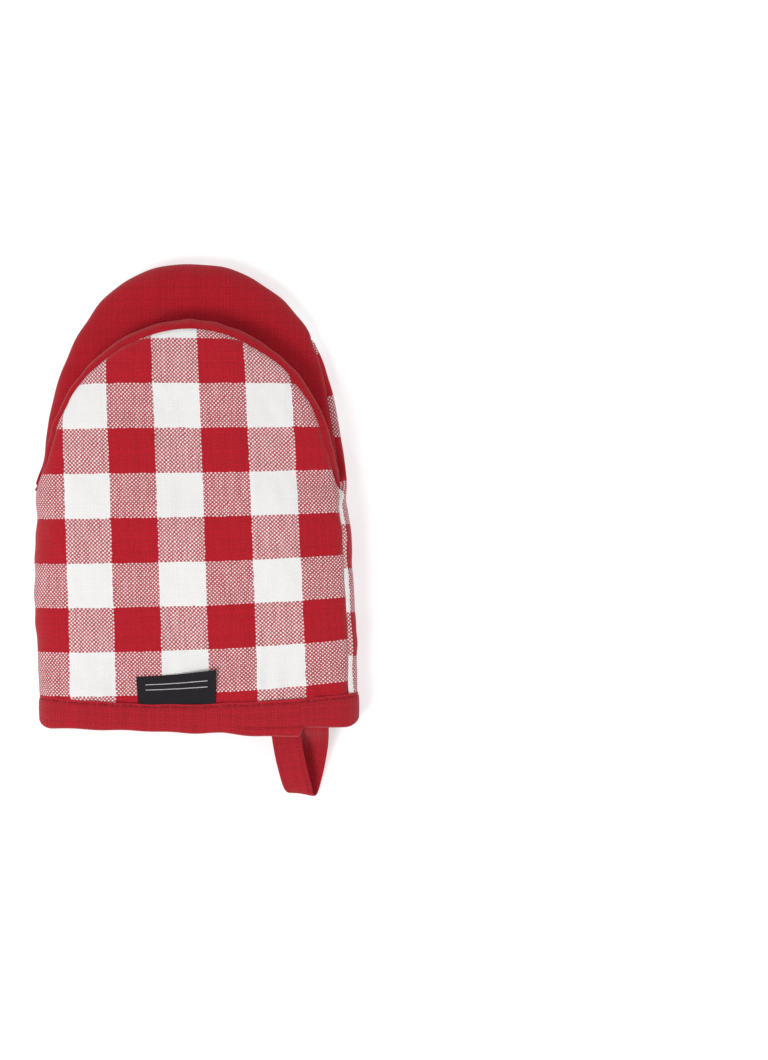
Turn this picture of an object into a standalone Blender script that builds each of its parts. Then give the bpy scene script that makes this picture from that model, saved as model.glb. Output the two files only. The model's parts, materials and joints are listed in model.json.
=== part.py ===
"""Pinch-style oven mitt, lying on its back panel, fingertips towards +Y.

A long finger jaw and a shorter thumb jaw meet at a fold, the throat of the
mouth. Behind the fold the two outer panels make one flat sleeve with a bound
cuff. Every wall is a sandwich of cover, batting and lining. Metres, +Z up.
"""
import math

import bmesh
import bpy
from mathutils import Vector

# ---- overall sizes -------------------------------------------------------
MITT_LENGTH = 0.2003         # cuff edge to fingertip edge
MITT_WIDTH = 0.1355          # across the sleeve
THUMB_LENGTH = 0.0724        # mouth fold to the thumb jaw's edge
THUMB_WIDTH = 0.1275         # across the thumb jaw
FOLD_DISTANCE = 0.104        # cuff edge to the mouth fold
LOOP_REACH = 0.0283          # how far the hanging loop stands past the cuff
SLEEVE_HEIGHT = 0.0335       # thickness at the mouth fold, lying empty
CUFF_HEIGHT = 0.0265         # thickness at the cuff
FINGER_JAW_HEIGHT = 0.0165   # thickness of the finger jaw

# ---- fabric layers -------------------------------------------------------
COVER_T = 0.0005             # gingham or plain red outer cloth
LINING_T = 0.0004            # lining cloth
BATTING_T = 0.0040           # quilt batting in the outer walls
MOUTH_BATTING_T = 0.0025     # thinner batting in the mouth walls
BINDING_T = 0.0006           # cuff binding tape
TAPE_T = 0.0010              # folded tape of the hanging loop
TAPE_WIDTH = 0.0110
GAP = 0.0003                 # clearance between neighbouring layers
MOUTH_GAP = 0.0005           # clearance between the closed jaws
SEAM_THREAD_R = 0.0001       # seam thread, held between two rims
TOPSTITCH_R = 0.00015        # thread of the cuff's topstitch
ROLL = 0.0025                # mouth cloth showing past the front panel's seam

# ---- outline curves ------------------------------------------------------
ARCH_BACK = 0.0215           # how far behind the fold the sides begin to curve in
ARCH_POWER = (2.0, 2.6)      # roundness of the fingertip arch
THUMB_ARCH_BACK = 0.0065     # the same for the thumb jaw
THUMB_ARCH_POWER = (2.3, 1.9)
SPINE_SHARE = 0.62           # where the arch rows converge, in half widths

# ---- wall section --------------------------------------------------------
FLAT_SHARE = 0.80            # part of each half width that stays flat
RIM_SHARE = 0.60             # how much of a deep layer's depth shows at the rim
RINGS = (0.0, 0.42, 0.80, 0.89, 0.95, 0.985, 1.0)
CUFF_SEAM_Z = 0.0130         # height of the side seam at the cuff
FINGER_SEAM_Z = 0.0085       # height of the finger jaw's edge seam

# ---- cuff binding, label, loop -------------------------------------------
HEM_HEIGHT = 0.0120
HEM_EASE = 0.0040            # length over which the walls swell past the hem
TOPSTITCH_DROP = 0.0016      # topstitch line below the hem's top edge
LABEL_WIDTH = 0.0330
LABEL_LENGTH = 0.0125
LABEL_T = 0.0005
LABEL_X = -0.0086            # label centre
LOOP_LEFT_X = 0.0380         # left end of the loop tape
LOOP_RIGHT_X = 0.0535        # right end of the loop tape
LOOP_TURN_X = (0.0430, 0.0525)
LOOP_DROP = 0.0125           # how far the loop hangs below its sewn ends
LOOP_HINGE_OUT = 0.0010      # bend line of the tape, outside the cuff's edge
TAIL_LENGTH = 0.0080
TACK_T = 0.0003

# ---- motion --------------------------------------------------------------
JAW_OPENING = math.radians(60.0)

# ---- derived places ------------------------------------------------------
CUFF_Y = LOOP_REACH - (MITT_LENGTH + LOOP_REACH) / 2.0
TIP_Y = CUFF_Y + MITT_LENGTH
FOLD_Y = CUFF_Y + FOLD_DISTANCE
THUMB_TIP_Y = FOLD_Y + THUMB_LENGTH
HEM_TOP_Y = CUFF_Y + HEM_HEIGHT
FOLD_Z = FINGER_JAW_HEIGHT + MOUTH_GAP / 2.0
THUMB_SEAM_Z = FOLD_Z + (SLEEVE_HEIGHT - FOLD_Z) / 2.0
BEND_HALF = (SLEEVE_HEIGHT - FOLD_Z) * math.tan(JAW_OPENING / 2.0) + GAP
PALM_END_Y = FOLD_Y - BEND_HALF
THUMB_START_Y = FOLD_Y + BEND_HALF
SLOPE_START_Y = CUFF_Y + 0.026
WALL_START_Y = CUFF_Y + BINDING_T + GAP

# depth levels of the outer wall, measured inwards from its face
HEM_RISE = 2.0 * TOPSTITCH_R + GAP
BINDING_OUT = (HEM_RISE, HEM_RISE + BINDING_T)
HEM_SINK = BINDING_OUT[1] + GAP
BATTING_DEPTH = COVER_T + GAP
LINING_DEPTH = BATTING_DEPTH + BATTING_T + GAP
WALL_DEPTH = LINING_DEPTH + LINING_T
HEM_SQUEEZE = 0.0006
BINDING_IN = (WALL_DEPTH - HEM_SQUEEZE + GAP, WALL_DEPTH - HEM_SQUEEZE + GAP + BINDING_T)
MOUTH_LINING_DEPTH = BATTING_DEPTH + MOUTH_BATTING_T + GAP

# ---- colours -------------------------------------------------------------
RED = (0.46, 0.022, 0.033, 1.0)
GINGHAM = (0.62, 0.28, 0.29, 1.0)
BATTING_WHITE = (0.80, 0.79, 0.75, 1.0)
LINING_RED = (0.36, 0.018, 0.026, 1.0)
BLACK = (0.020, 0.018, 0.024, 1.0)


def clear_scene():
    for old in list(bpy.data.objects):
        bpy.data.objects.remove(old, do_unlink=True)


def material(name, colour, roughness):
    mat = bpy.data.materials.new(name)
    mat.use_nodes = True
    shader = mat.node_tree.nodes["Principled BSDF"]
    shader.inputs["Base Color"].default_value = colour
    shader.inputs["Roughness"].default_value = roughness
    shader.inputs["Metallic"].default_value = 0.0
    mat.diffuse_color = colour
    return mat


def smooth_step(value, low, high):
    t = min(1.0, max(0.0, (value - low) / (high - low)))
    return t * t * (3.0 - 2.0 * t)


def add_object(name, bm, mat, location=(0.0, 0.0, 0.0)):
    """Weld, turn the faces outwards and hang the mesh on an object."""
    bmesh.ops.remove_doubles(bm, verts=bm.verts, dist=1e-7)
    bmesh.ops.recalc_face_normals(bm, faces=bm.faces)
    bmesh.ops.translate(bm, verts=bm.verts, vec=-Vector(location))
    mesh = bpy.data.meshes.new(name)
    bm.to_mesh(mesh)
    bm.free()
    for face in mesh.polygons:
        face.use_smooth = True
    mesh.set_sharp_from_angle(angle=math.radians(42.0))
    mesh.materials.append(mat)
    obj = bpy.data.objects.new(name, mesh)
    obj.location = location
    bpy.context.scene.collection.objects.link(obj)
    return obj


# ---- outlines ------------------------------------------------------------
def finger_panel():
    return (MITT_WIDTH / 2.0, FOLD_Y - ARCH_BACK, TIP_Y, ARCH_POWER)


def thumb_panel(inset=0.0):
    return (THUMB_WIDTH / 2.0 - inset, FOLD_Y - THUMB_ARCH_BACK,
            THUMB_TIP_Y - inset, THUMB_ARCH_POWER)


def arch_half_width(panel, inset, y):
    half, start, tip, (p, q) = panel
    t = min(1.0, max(0.0, (y - start) / (tip - inset - start)))
    return (half - inset) * (1.0 - t ** p) ** (1.0 / q)


def front_half_width(inset, y):
    """The front panel narrows from the sleeve's width to the thumb jaw's."""
    wide = arch_half_width(finger_panel(), inset, y)
    narrow = arch_half_width(thumb_panel(ROLL), inset, y)
    share = smooth_step(y, PALM_END_Y, THUMB_START_Y)
    return wide + (narrow - wide) * share


ROWS = (
    WALL_START_Y,
    HEM_TOP_Y + GAP,
    HEM_TOP_Y + GAP + HEM_EASE,
    SLOPE_START_Y,
    CUFF_Y + 0.048,
    CUFF_Y + 0.070,
    PALM_END_Y,
    FOLD_Y,
    THUMB_START_Y,
)
ARCH_STEPS = 9


def row_stations(width_at, inset, first, last):
    """Straight rows across the sleeve: (edge x, edge y, spine y)."""
    chosen = [y for y in ROWS if first - 1e-9 <= y <= last + 1e-9]
    return [(width_at(inset, y), y, y) for y in chosen]


def arch_stations(panel, inset):
    """Rows past the bend; they lean over until they meet at the tip."""
    half, start, tip, (p, q) = panel
    length = tip - inset - start
    spine_end = tip - SPINE_SHARE * half
    first = math.asin(((THUMB_START_Y - start) / length) ** (p / 2.0))
    found = []
    for step in range(1, ARCH_STEPS + 1):
        angle = first + (math.pi / 2.0 - first) * step / ARCH_STEPS
        y = start + length * math.sin(angle) ** (2.0 / p)
        x = 0.0 if step == ARCH_STEPS else (half - inset) * math.cos(angle) ** (2.0 / q)
        share = (y - THUMB_START_Y) / (tip - inset - THUMB_START_Y)
        found.append((x, y, THUMB_START_Y + (spine_end - THUMB_START_Y) * share))
    return found


# ---- heights -------------------------------------------------------------
def sleeve_rim_z(y):
    rise = smooth_step(y, CUFF_Y, PALM_END_Y)
    return CUFF_SEAM_Z + (FOLD_Z - CUFF_SEAM_Z) * rise


def finger_rim_z(y):
    """The edge seams part beside the fold; the finger jaw's goes down."""
    share = smooth_step(y, PALM_END_Y, THUMB_START_Y)
    return sleeve_rim_z(y) + (FINGER_SEAM_Z - FOLD_Z) * share


def thumb_rim_z(y):
    share = smooth_step(y, PALM_END_Y, THUMB_START_Y)
    return sleeve_rim_z(y) + (THUMB_SEAM_Z - FOLD_Z) * share


def front_height(y):
    swell = smooth_step(y, SLOPE_START_Y, PALM_END_Y)
    return CUFF_HEIGHT + (SLEEVE_HEIGHT - CUFF_HEIGHT) * swell


def section(share):
    """Rounded-slab section: 1 on the flat, 0 at the rim."""
    if share <= FLAT_SHARE:
        return 1.0
    t = (share - FLAT_SHARE) / (1.0 - FLAT_SHARE)
    return math.sqrt(max(0.0, 1.0 - t * t))


def rim_inset(depth):
    return depth if depth < 0.001 else 0.001 + (depth - 0.001) * RIM_SHARE


def hem_share(y):
    """1 inside the hem, 0 where the wall has swollen to its full depth."""
    return 1.0 - smooth_step(y, HEM_TOP_Y + GAP, HEM_TOP_Y + GAP + HEM_EASE)


def outer_level(depth, y):
    """Depth of an outer-wall surface, squeezed where the binding grips it."""
    if depth < LINING_DEPTH - GAP - 1e-9:
        return depth + HEM_SINK * hem_share(y)
    return depth - HEM_SQUEEZE * hem_share(y)


def plain_level(depth, y):
    return depth


# ---- walls ---------------------------------------------------------------
def surface_rows(stations_of, level, depth, flat_z, rim_z, rim_lift):
    """Grid of points of one face of a layer, a list of rows."""
    rows = []
    base = stations_of(0.0)
    for number, (_, edge_y0, _) in enumerate(base):
        inset = rim_inset(level(depth, edge_y0))
        edge_x, edge_y, spine_y = stations_of(inset)[number]
        rim = rim_z(edge_y0) + rim_lift
        row = []
        for share in [-r for r in reversed(RINGS[1:])] + list(RINGS):
            y = spine_y + abs(share) * (edge_y - spine_y)
            z = rim + (flat_z(level(depth, y), y) - rim) * section(abs(share))
            row.append(Vector((share * edge_x, y, z)))
        rows.append(row)
    return rows


def solid_between(rows_a, rows_b):
    """Closed body between two grids of the same shape."""
    bm = bmesh.new()
    grid_a = [[bm.verts.new(p) for p in row] for row in rows_a]
    grid_b = [[bm.verts.new(p) for p in row] for row in rows_b]
    last_row = len(rows_a) - 1
    last = len(rows_a[0]) - 1
    for i in range(last_row):
        for j in range(last):
            bm.faces.new((grid_a[i][j], grid_a[i][j + 1], grid_a[i + 1][j + 1], grid_a[i + 1][j]))
            bm.faces.new((grid_b[i][j], grid_b[i + 1][j], grid_b[i + 1][j + 1], grid_b[i][j + 1]))
        for j in (0, last):
            bm.faces.new((grid_a[i][j], grid_a[i + 1][j], grid_b[i + 1][j], grid_b[i][j]))
    tip_closed = abs(rows_a[-1][0].x) < 1e-9
    for i in ([0] if tip_closed else [0, last_row]):
        for j in range(last):
            bm.faces.new((grid_a[i][j], grid_b[i][j], grid_b[i][j + 1], grid_a[i][j + 1]))
    return bm


def make_layer(name, mat, stations_of, level, depths, flat_z, rim_z, rim_lift):
    outer = surface_rows(stations_of, level, depths[0], flat_z, rim_z, rim_lift)
    inner = surface_rows(stations_of, level, depths[1], flat_z, rim_z, rim_lift)
    return add_object(name, solid_between(outer, inner), mat)


def wall_layers(batting_t):
    lining = BATTING_DEPTH + batting_t + GAP
    return (
        ("cover", (0.0, COVER_T)),
        ("batting", (BATTING_DEPTH, BATTING_DEPTH + batting_t)),
        ("lining", (lining, lining + LINING_T)),
    )


def back_stations(inset):
    rows = row_stations(lambda d, y: arch_half_width(finger_panel(), d, y), inset,
                        WALL_START_Y, THUMB_START_Y)
    return rows + arch_stations(finger_panel(), inset)


def mouth_stations(panel, inset):
    start = FOLD_Y
    rows = row_stations(lambda d, y: arch_half_width(panel, d, y), inset, start, THUMB_START_Y)
    first = rows[0]
    rows[0] = (first[0], first[1] + GAP / 2.0, first[2] + GAP / 2.0)
    return rows + arch_stations(panel, inset)


def palm_stations(inset):
    return row_stations(front_half_width, inset, WALL_START_Y, PALM_END_Y)


def bend_stations(inset):
    rows = row_stations(front_half_width, inset, PALM_END_Y, THUMB_START_Y)
    low = rows[0]
    high = rows[-1]
    rows[0] = (low[0], low[1] + GAP, low[2] + GAP)
    rows[-1] = (high[0], high[1] - GAP, high[2] - GAP)
    return rows


def thumb_stations(inset):
    rows = row_stations(front_half_width, inset, THUMB_START_Y, THUMB_START_Y)
    return rows + arch_stations(thumb_panel(ROLL), inset)


def build_back(mats):
    for layer, depths in wall_layers(BATTING_T):
        make_layer("back_" + layer, mats["gingham" if layer == "cover" else layer],
                   back_stations, outer_level, depths,
                   lambda depth, y: depth, finger_rim_z, -GAP / 2.0)


def build_front(mats):
    places = (("palm", palm_stations), ("bend", bend_stations), ("thumb", thumb_stations))
    for place, stations_of in places:
        for layer, depths in wall_layers(BATTING_T):
            make_layer("front_" + layer + "_" + place,
                       mats["gingham" if layer == "cover" else layer],
                       stations_of, outer_level, depths,
                       lambda depth, y: front_height(y) - depth, thumb_rim_z, GAP / 2.0)


def build_finger_mouth(mats):
    for layer, depths in wall_layers(MOUTH_BATTING_T):
        make_layer("finger_mouth_" + layer, mats["red" if layer == "cover" else layer],
                   lambda inset: mouth_stations(finger_panel(), inset), plain_level, depths,
                   lambda depth, y: FINGER_JAW_HEIGHT - depth, finger_rim_z, GAP / 2.0)


def build_thumb_mouth(mats):
    low = FINGER_JAW_HEIGHT + MOUTH_GAP
    for layer, depths in wall_layers(MOUTH_BATTING_T):
        make_layer("thumb_mouth_" + layer, mats["red" if layer == "cover" else layer],
                   lambda inset: mouth_stations(thumb_panel(), inset), plain_level, depths,
                   lambda depth, y: low + depth, thumb_rim_z, -GAP / 2.0)


# ---- cuff ----------------------------------------------------------------
def cuff_ring(y, depth):
    """Closed loop around the sleeve's section at one depth."""
    edge = MITT_WIDTH / 2.0 - rim_inset(depth)
    rim = finger_rim_z(y)
    ring = []
    for side, flat in ((1.0, front_height(y) - depth), (-1.0, depth)):
        shares = [-r for r in reversed(RINGS[1:])] + list(RINGS[:-1])
        for share in shares:
            x = side * share * edge
            ring.append(Vector((x, y, rim + (flat - rim) * section(abs(share)))))
    return ring


def ring_body(name, mat, profile):
    """Sweep a closed (y, depth) profile around the cuff."""
    bm = bmesh.new()
    loops = [[bm.verts.new(p) for p in cuff_ring(y, depth)] for y, depth in profile]
    count = len(loops[0])
    for i, loop in enumerate(loops):
        after = loops[(i + 1) % len(loops)]
        for j in range(count):
            k = (j + 1) % count
            bm.faces.new((loop[j], loop[k], after[k], after[j]))
    return add_object(name, bm, mat)


def build_cuff(mats):
    profile = (
        (CUFF_Y, BINDING_OUT[0] + 0.0008),
        (CUFF_Y + 0.0006, BINDING_OUT[0]),
        (HEM_TOP_Y, BINDING_OUT[0]),
        (HEM_TOP_Y, BINDING_OUT[1]),
        (CUFF_Y + BINDING_T, BINDING_OUT[1]),
        (CUFF_Y + BINDING_T, BINDING_IN[0]),
        (HEM_TOP_Y, BINDING_IN[0]),
        (HEM_TOP_Y, BINDING_IN[1]),
        (CUFF_Y + 0.0006, BINDING_IN[1]),
        (CUFF_Y, BINDING_IN[1] - 0.0008),
    )
    ring_body("cuff_binding", mats["red"], profile)
    centre_y = HEM_TOP_Y - TOPSTITCH_DROP
    centre_depth = TOPSTITCH_R + 0.0001
    thread = []
    for step in range(6):
        angle = math.tau * step / 6.0
        thread.append((centre_y + TOPSTITCH_R * math.cos(angle),
                       centre_depth + TOPSTITCH_R * math.sin(angle)))
    ring_body("cuff_topstitch", mats["thread"], thread)


# ---- seam threads --------------------------------------------------------
def tube_body(name, mat, points, radius):
    """Six-sided thread along a path that lies nearly level."""
    bm = bmesh.new()
    loops = []
    last = len(points) - 1
    for i, point in enumerate(points):
        along = (points[min(i + 1, last)] - points[max(i - 1, 0)]).normalized()
        across = along.cross(Vector((0.0, 0.0, 1.0))).normalized()
        up = across.cross(along).normalized()
        loop = []
        for step in range(6):
            angle = math.tau * step / 6.0
            loop.append(bm.verts.new(point + radius * (math.cos(angle) * across + math.sin(angle) * up)))
        loops.append(loop)
    for low, high in zip(loops, loops[1:]):
        for j in range(6):
            k = (j + 1) % 6
            bm.faces.new((low[j], low[k], high[k], high[j]))
    bm.faces.new(list(reversed(loops[0])))
    bm.faces.new(loops[-1])
    return add_object(name, bm, mat)


SEAM_ALLOWANCE = 0.0015      # seam line inside the cloth's edge


def edge_path(stations, rim_z, side):
    return [Vector((side * x, y, rim_z(y))) for x, y, _ in stations]


def build_seams(mats):
    side_rows = row_stations(lambda d, y: arch_half_width(finger_panel(), d, y),
                             SEAM_ALLOWANCE, HEM_TOP_Y + GAP + HEM_EASE, PALM_END_Y)
    for word, side in (("left", -1.0), ("right", 1.0)):
        tube_body("side_seam_thread_" + word, mats["thread"],
                  edge_path(side_rows, finger_rim_z, side), SEAM_THREAD_R)
    jaws = (
        ("finger_edge_seam_thread", finger_panel(), SEAM_ALLOWANCE, finger_rim_z),
        ("thumb_edge_seam_thread", thumb_panel(ROLL), SEAM_ALLOWANCE, thumb_rim_z),
    )
    for name, panel, inset, rim_z in jaws:
        start = [(arch_half_width(panel, inset, THUMB_START_Y), THUMB_START_Y, 0.0)]
        half = start + arch_stations(panel, inset)
        left = edge_path(half, rim_z, -1.0)
        right = edge_path(half[:-1], rim_z, 1.0)
        tube_body(name, mats["thread"], left + list(reversed(right)), SEAM_THREAD_R)


# ---- hanging loop --------------------------------------------------------
def inner_ceiling(x, y):
    """Underside of the binding's inner leg in the front wall."""
    edge = MITT_WIDTH / 2.0 - rim_inset(BINDING_IN[1])
    rim = finger_rim_z(y)
    flat = front_height(y) - BINDING_IN[1]
    return rim + (flat - rim) * section(abs(x) / edge)


def tail_top(x):
    outer_edge = abs(x) + TAPE_WIDTH / 2.0 if x == LOOP_RIGHT_X else abs(x)
    return inner_ceiling(outer_edge, CUFF_Y) - GAP


def loop_axis_z():
    return tail_top(LOOP_RIGHT_X) - TAPE_T / 2.0


def box_body(name, mat, low, high):
    bm = bmesh.new()
    bmesh.ops.create_cube(bm, size=1.0)
    size = [h - l for l, h in zip(low, high)]
    centre = [(h + l) / 2.0 for l, h in zip(low, high)]
    bmesh.ops.scale(bm, verts=bm.verts, vec=size)
    bmesh.ops.translate(bm, verts=bm.verts, vec=centre)
    return add_object(name, bm, mat)


def build_loop_tails(mats):
    top = tail_top(LOOP_RIGHT_X)
    start = CUFF_Y + 0.0003
    for word, x in (("left", LOOP_LEFT_X), ("right", LOOP_RIGHT_X)):
        box_body("loop_tail_" + word, mats["red"],
                 (x - TAPE_WIDTH / 2.0, start, top - TAPE_T),
                 (x + TAPE_WIDTH / 2.0, start + TAIL_LENGTH, top))
        box_body("loop_tack_" + word, mats["thread"],
                 (x - TAPE_WIDTH / 2.0 + 0.001, start + TAIL_LENGTH - 0.004, top - TAPE_T - GAP - TACK_T),
                 (x + TAPE_WIDTH / 2.0 - 0.001, start + TAIL_LENGTH - 0.002, top - TAPE_T - GAP))


def loop_frame(share):
    """Centre point, and width direction, along the loop's tape."""
    end_y = CUFF_Y - LOOP_REACH + TAPE_T / 2.0
    start_y = CUFF_Y - GAP
    turn_r = (LOOP_TURN_X[1] - LOOP_TURN_X[0]) / 2.0
    leg_end_y = end_y + turn_r
    z0 = loop_axis_z()
    if share < 0.42:
        t = share / 0.42
        x = LOOP_LEFT_X + (LOOP_TURN_X[0] - LOOP_LEFT_X) * smooth_step(t, 0.0, 1.0)
        y = start_y + (leg_end_y - start_y) * t
        turn = math.radians(90.0) * smooth_step(t, 0.05, 0.75)
    elif share <= 0.58:
        angle = math.pi * (share - 0.42) / 0.16
        x = (LOOP_TURN_X[0] + LOOP_TURN_X[1]) / 2.0 - turn_r * math.cos(angle)
        y = leg_end_y - turn_r * math.sin(angle)
        turn = math.radians(90.0)
    else:
        t = (share - 0.58) / 0.42
        x = LOOP_TURN_X[1] + (LOOP_RIGHT_X - LOOP_TURN_X[1]) * smooth_step(t, 0.0, 1.0)
        y = leg_end_y + (start_y - leg_end_y) * t
        turn = math.radians(90.0) * (1.0 + smooth_step(t, 0.55, 1.0))
    sag = smooth_step(start_y - y, 0.0, start_y - end_y)
    z = z0 - LOOP_DROP * sag
    return Vector((x, y, z)), Vector((math.cos(turn), 0.0, math.sin(turn)))


LOOP_STEPS = 64


def build_loop(mats):
    bm = bmesh.new()
    loops = []
    for step in range(LOOP_STEPS + 1):
        share = step / LOOP_STEPS
        centre, width = loop_frame(share)
        before = loop_frame(max(0.0, share - 0.002))[0]
        after = loop_frame(min(1.0, share + 0.002))[0]
        along = (after - before).normalized()
        width = (width - along * width.dot(along)).normalized()
        face = along.cross(width).normalized()
        corners = ((-0.5, -0.5), (0.5, -0.5), (0.5, 0.5), (-0.5, 0.5))
        loops.append([bm.verts.new(centre + width * TAPE_WIDTH * a + face * TAPE_T * b)
                      for a, b in corners])
    for low, high in zip(loops, loops[1:]):
        for j in range(4):
            k = (j + 1) % 4
            bm.faces.new((low[j], low[k], high[k], high[j]))
    bm.faces.new(list(reversed(loops[0])))
    bm.faces.new(loops[-1])
    axis = ((LOOP_LEFT_X + LOOP_RIGHT_X) / 2.0, CUFF_Y - LOOP_HINGE_OUT, loop_axis_z())
    add_object("hanging_loop", bm, mats["red"], axis)


# ---- label ---------------------------------------------------------------
def build_label(mats):
    low_z = CUFF_HEIGHT + GAP
    start = HEM_TOP_Y + GAP
    obj = box_body("woven_label", mats["black"],
                   (LABEL_X - LABEL_WIDTH / 2.0, start, low_z),
                   (LABEL_X + LABEL_WIDTH / 2.0, start + LABEL_LENGTH, low_z + LABEL_T))
    axis = Vector((LABEL_X, HEM_TOP_Y, low_z))
    for vert in obj.data.vertices:
        vert.co -= axis
    obj.location = axis


def main():
    clear_scene()
    mats = {
        "gingham": material("gingham_cotton", GINGHAM, 0.9),
        "red": material("plain_red_cotton", RED, 0.85),
        "batting": material("quilt_batting", BATTING_WHITE, 0.95),
        "lining": material("red_lining", LINING_RED, 0.85),
        "thread": material("red_thread", RED, 0.6),
        "black": material("black_woven_label", BLACK, 0.7),
    }
    build_back(mats)
    build_front(mats)
    build_finger_mouth(mats)
    build_thumb_mouth(mats)
    build_cuff(mats)
    build_seams(mats)
    build_loop_tails(mats)
    build_loop(mats)
    build_label(mats)


main()
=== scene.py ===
import json
import math

import bmesh
import bpy
import numpy as np
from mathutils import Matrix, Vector
from mathutils.bvhtree import BVHTree


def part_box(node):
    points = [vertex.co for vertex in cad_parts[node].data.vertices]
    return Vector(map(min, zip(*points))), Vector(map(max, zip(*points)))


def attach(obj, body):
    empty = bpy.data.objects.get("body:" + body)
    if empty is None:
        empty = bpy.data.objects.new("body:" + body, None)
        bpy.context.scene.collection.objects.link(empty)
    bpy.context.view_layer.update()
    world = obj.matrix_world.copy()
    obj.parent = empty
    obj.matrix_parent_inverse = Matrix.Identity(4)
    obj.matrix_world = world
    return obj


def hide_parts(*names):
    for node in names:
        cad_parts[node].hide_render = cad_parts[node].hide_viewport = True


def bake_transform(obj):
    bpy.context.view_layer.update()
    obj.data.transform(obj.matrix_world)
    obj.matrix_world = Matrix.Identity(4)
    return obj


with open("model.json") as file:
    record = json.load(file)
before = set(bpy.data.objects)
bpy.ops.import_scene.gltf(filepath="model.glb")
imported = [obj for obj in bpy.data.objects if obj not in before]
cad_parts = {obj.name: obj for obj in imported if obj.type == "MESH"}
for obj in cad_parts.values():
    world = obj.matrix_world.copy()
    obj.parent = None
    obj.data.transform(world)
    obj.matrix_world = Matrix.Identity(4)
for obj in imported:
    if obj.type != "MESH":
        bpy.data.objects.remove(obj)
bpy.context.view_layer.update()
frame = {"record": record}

# ---------------------------------------------------------------- the frame
MM = 0.001
SEAM_STANDS_OUT = 1.3        # of the fingertips' seam past the CAD cover, mm
CUFF_STANDS_UP = 0.6         # of the front cloth at the cuff above the CAD binding, mm
CUFF_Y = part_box("cuff_binding")[0][1] / MM
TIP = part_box("back_cover")[1][1] / MM - CUFF_Y + SEAM_STANDS_OUT
THUMB_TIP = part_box("thumb_mouth_cover")[1][1] / MM - CUFF_Y
FOLD = [j for j in frame["record"]["behaviour"]["joints"] if j["name"] == "thumb_jaw_opening"][0]
FOLD_Y = FOLD["pos_m"][1] / MM - CUFF_Y
FOLD_Z = FOLD["pos_m"][2] / MM
TOP_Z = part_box("front_cover_thumb")[1][2] / MM
CUFF_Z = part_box("cuff_binding")[1][2] / MM + CUFF_STANDS_UP
JAW_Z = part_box("finger_mouth_cover")[1][2] / MM
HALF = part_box("back_cover")[1][0] / MM
THUMB_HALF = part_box("thumb_mouth_cover")[1][0] / MM

# All lengths below are millimetres; Y is measured from the cuff's edge.
POWER = 5.5                  # how square the padded section is
CHECK_X, CHECK_Y = 19.75, 19.3       # size of the front panel's checks
THREADS_X, THREADS_Y = 24.0, 23.0    # threads in one check
FINGER_ARCH, THUMB_ARCH = 82.5, 97.5  # where each jaw's sides begin to curve in
FINGER_POWER, THUMB_POWER = 2.0, 2.3  # how square each jaw's arch is
WALL_T, MOUTH_T = 4.6, 3.4   # padded walls: outer ones and the two in the mouth
FIRST_ROW = 6.0              # the walls begin inside the binding
FINGER_LEAN, THUMB_LEAN = 128, 126   # where the rows begin to lean round the tip
FINGER_SPINE, THUMB_SPINE = 42, 38   # from the spine's end to the tip
ROW_STEP, ARCH_ROWS = 1.15, 62
SECTION_COLUMNS = 84
rng = np.random.default_rng(7)


def ease(lo, hi, v):
    t = np.clip((np.asarray(v, float) - lo) / (hi - lo), 0.0, 1.0)
    return t * t * (3.0 - 2.0 * t)


def waves_2d(x, y, seed, short, long, count=14):
    """Smooth random field of about unit strength."""
    r = np.random.default_rng(seed)
    total = np.zeros_like(x)
    for _ in range(count):
        length = r.uniform(short, long)
        angle = r.uniform(0, math.tau)
        phase = r.uniform(0, math.tau)
        k = math.tau / length
        total += np.sin(k * (x * math.cos(angle) + y * math.sin(angle)) + phase)
    return total / math.sqrt(count / 2.0)


def waves_1d(s, seed, short, long, count=9):
    r = np.random.default_rng(seed)
    total = np.zeros_like(s)
    for _ in range(count):
        total += np.sin(math.tau * s / r.uniform(short, long) + r.uniform(0, math.tau))
    return total / math.sqrt(count / 2.0)


# ----------------------------------------------------------------- outlines
def finger_half(y):
    wide = HALF + 0.9 - 1.0 * ease(10, 82, y)
    t = np.clip((y - FINGER_ARCH) / (TIP - FINGER_ARCH), 0, 1)
    return wide * (1 - t ** FINGER_POWER) ** (1 / 2.6) * (1 - 0.07 * ease(184, 200, y))


def finger_centre(y):
    return 0.3 - 2.5 * ease(10, 95, y) - 1.2 * ease(165, 200, y)


def thumb_half(y):
    t = np.clip((y - THUMB_ARCH) / (THUMB_TIP - THUMB_ARCH), 0, 1)
    return THUMB_HALF * (1 - t ** THUMB_POWER) ** (1 / 1.9)


class Slab:
    """Rows from the cuff end to the tip, each with a spine foot and two edges."""

    def __init__(self, first, lean, tip, half, centre, base, power, spine_back):
        straight = np.linspace(first, lean, int(round((lean - first) / ROW_STEP)) + 1)
        rows = [(y, centre(y) - half(y)[0], centre(y) + half(y)[1], y) for y in straight]
        first_angle = math.asin(((lean - base) / (tip - base)) ** (power / 2))
        spine_end = tip - spine_back
        for i in range(1, ARCH_ROWS + 1):
            a = first_angle + (math.pi / 2 - first_angle) * i / ARCH_ROWS
            y = base + (tip - base) * math.sin(a) ** (2 / power)
            y = min(y, tip)
            left, right = half(y)
            if i == ARCH_ROWS:
                left = right = 0.0
            foot = lean + (spine_end - lean) * (y - lean) / (tip - lean)
            rows.append((y, centre(y) - left, centre(y) + right, foot))
        self.edge_y, self.left, self.right, self.foot_y = np.array(rows, float).T.copy()
        self.centre = np.array([centre(y) for y in self.edge_y], float)


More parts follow.
